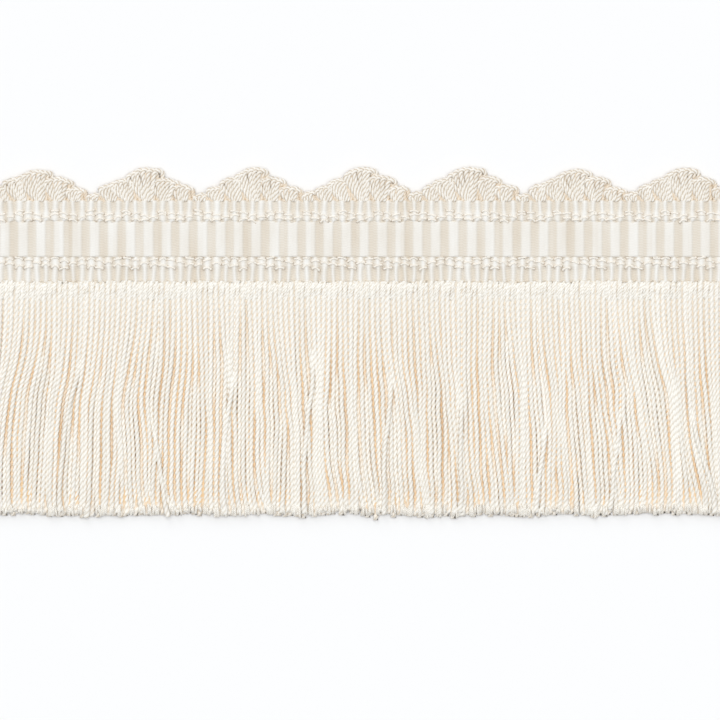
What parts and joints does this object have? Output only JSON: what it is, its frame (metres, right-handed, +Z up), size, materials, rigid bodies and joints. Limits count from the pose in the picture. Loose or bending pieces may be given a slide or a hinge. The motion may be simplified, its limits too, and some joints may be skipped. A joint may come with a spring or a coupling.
{
  "type": "cut fringe trim",
  "caption": "Sew-on edging: a ribbed woven tape with a scalloped row of cord loops above and a skirt of cut twisted yarn below.",
  "frame": {"origin": "under the middle of the trim's box, on the surface that it lies on", "axes": "+X along the trim's length, +Y from the cut ends to the scallops, +Z up out of the trim's face"},
  "size_m": [0.1672, 0.0768, 0.0021],
  "materials": {
    "ivory_tape": "ribbed viscose weave, slightly lustrous",
    "ivory_cord": "three-ply twisted viscose cord, slightly lustrous",
    "ivory_yarn": "soft three-ply twisted yarn with cut ends"
  },
  "bodies": {
    "root": {"heading": "ivory_tape", "scallop_loops": "ivory_cord", "fringe": "ivory_yarn"}
  },
  "joints": []
}
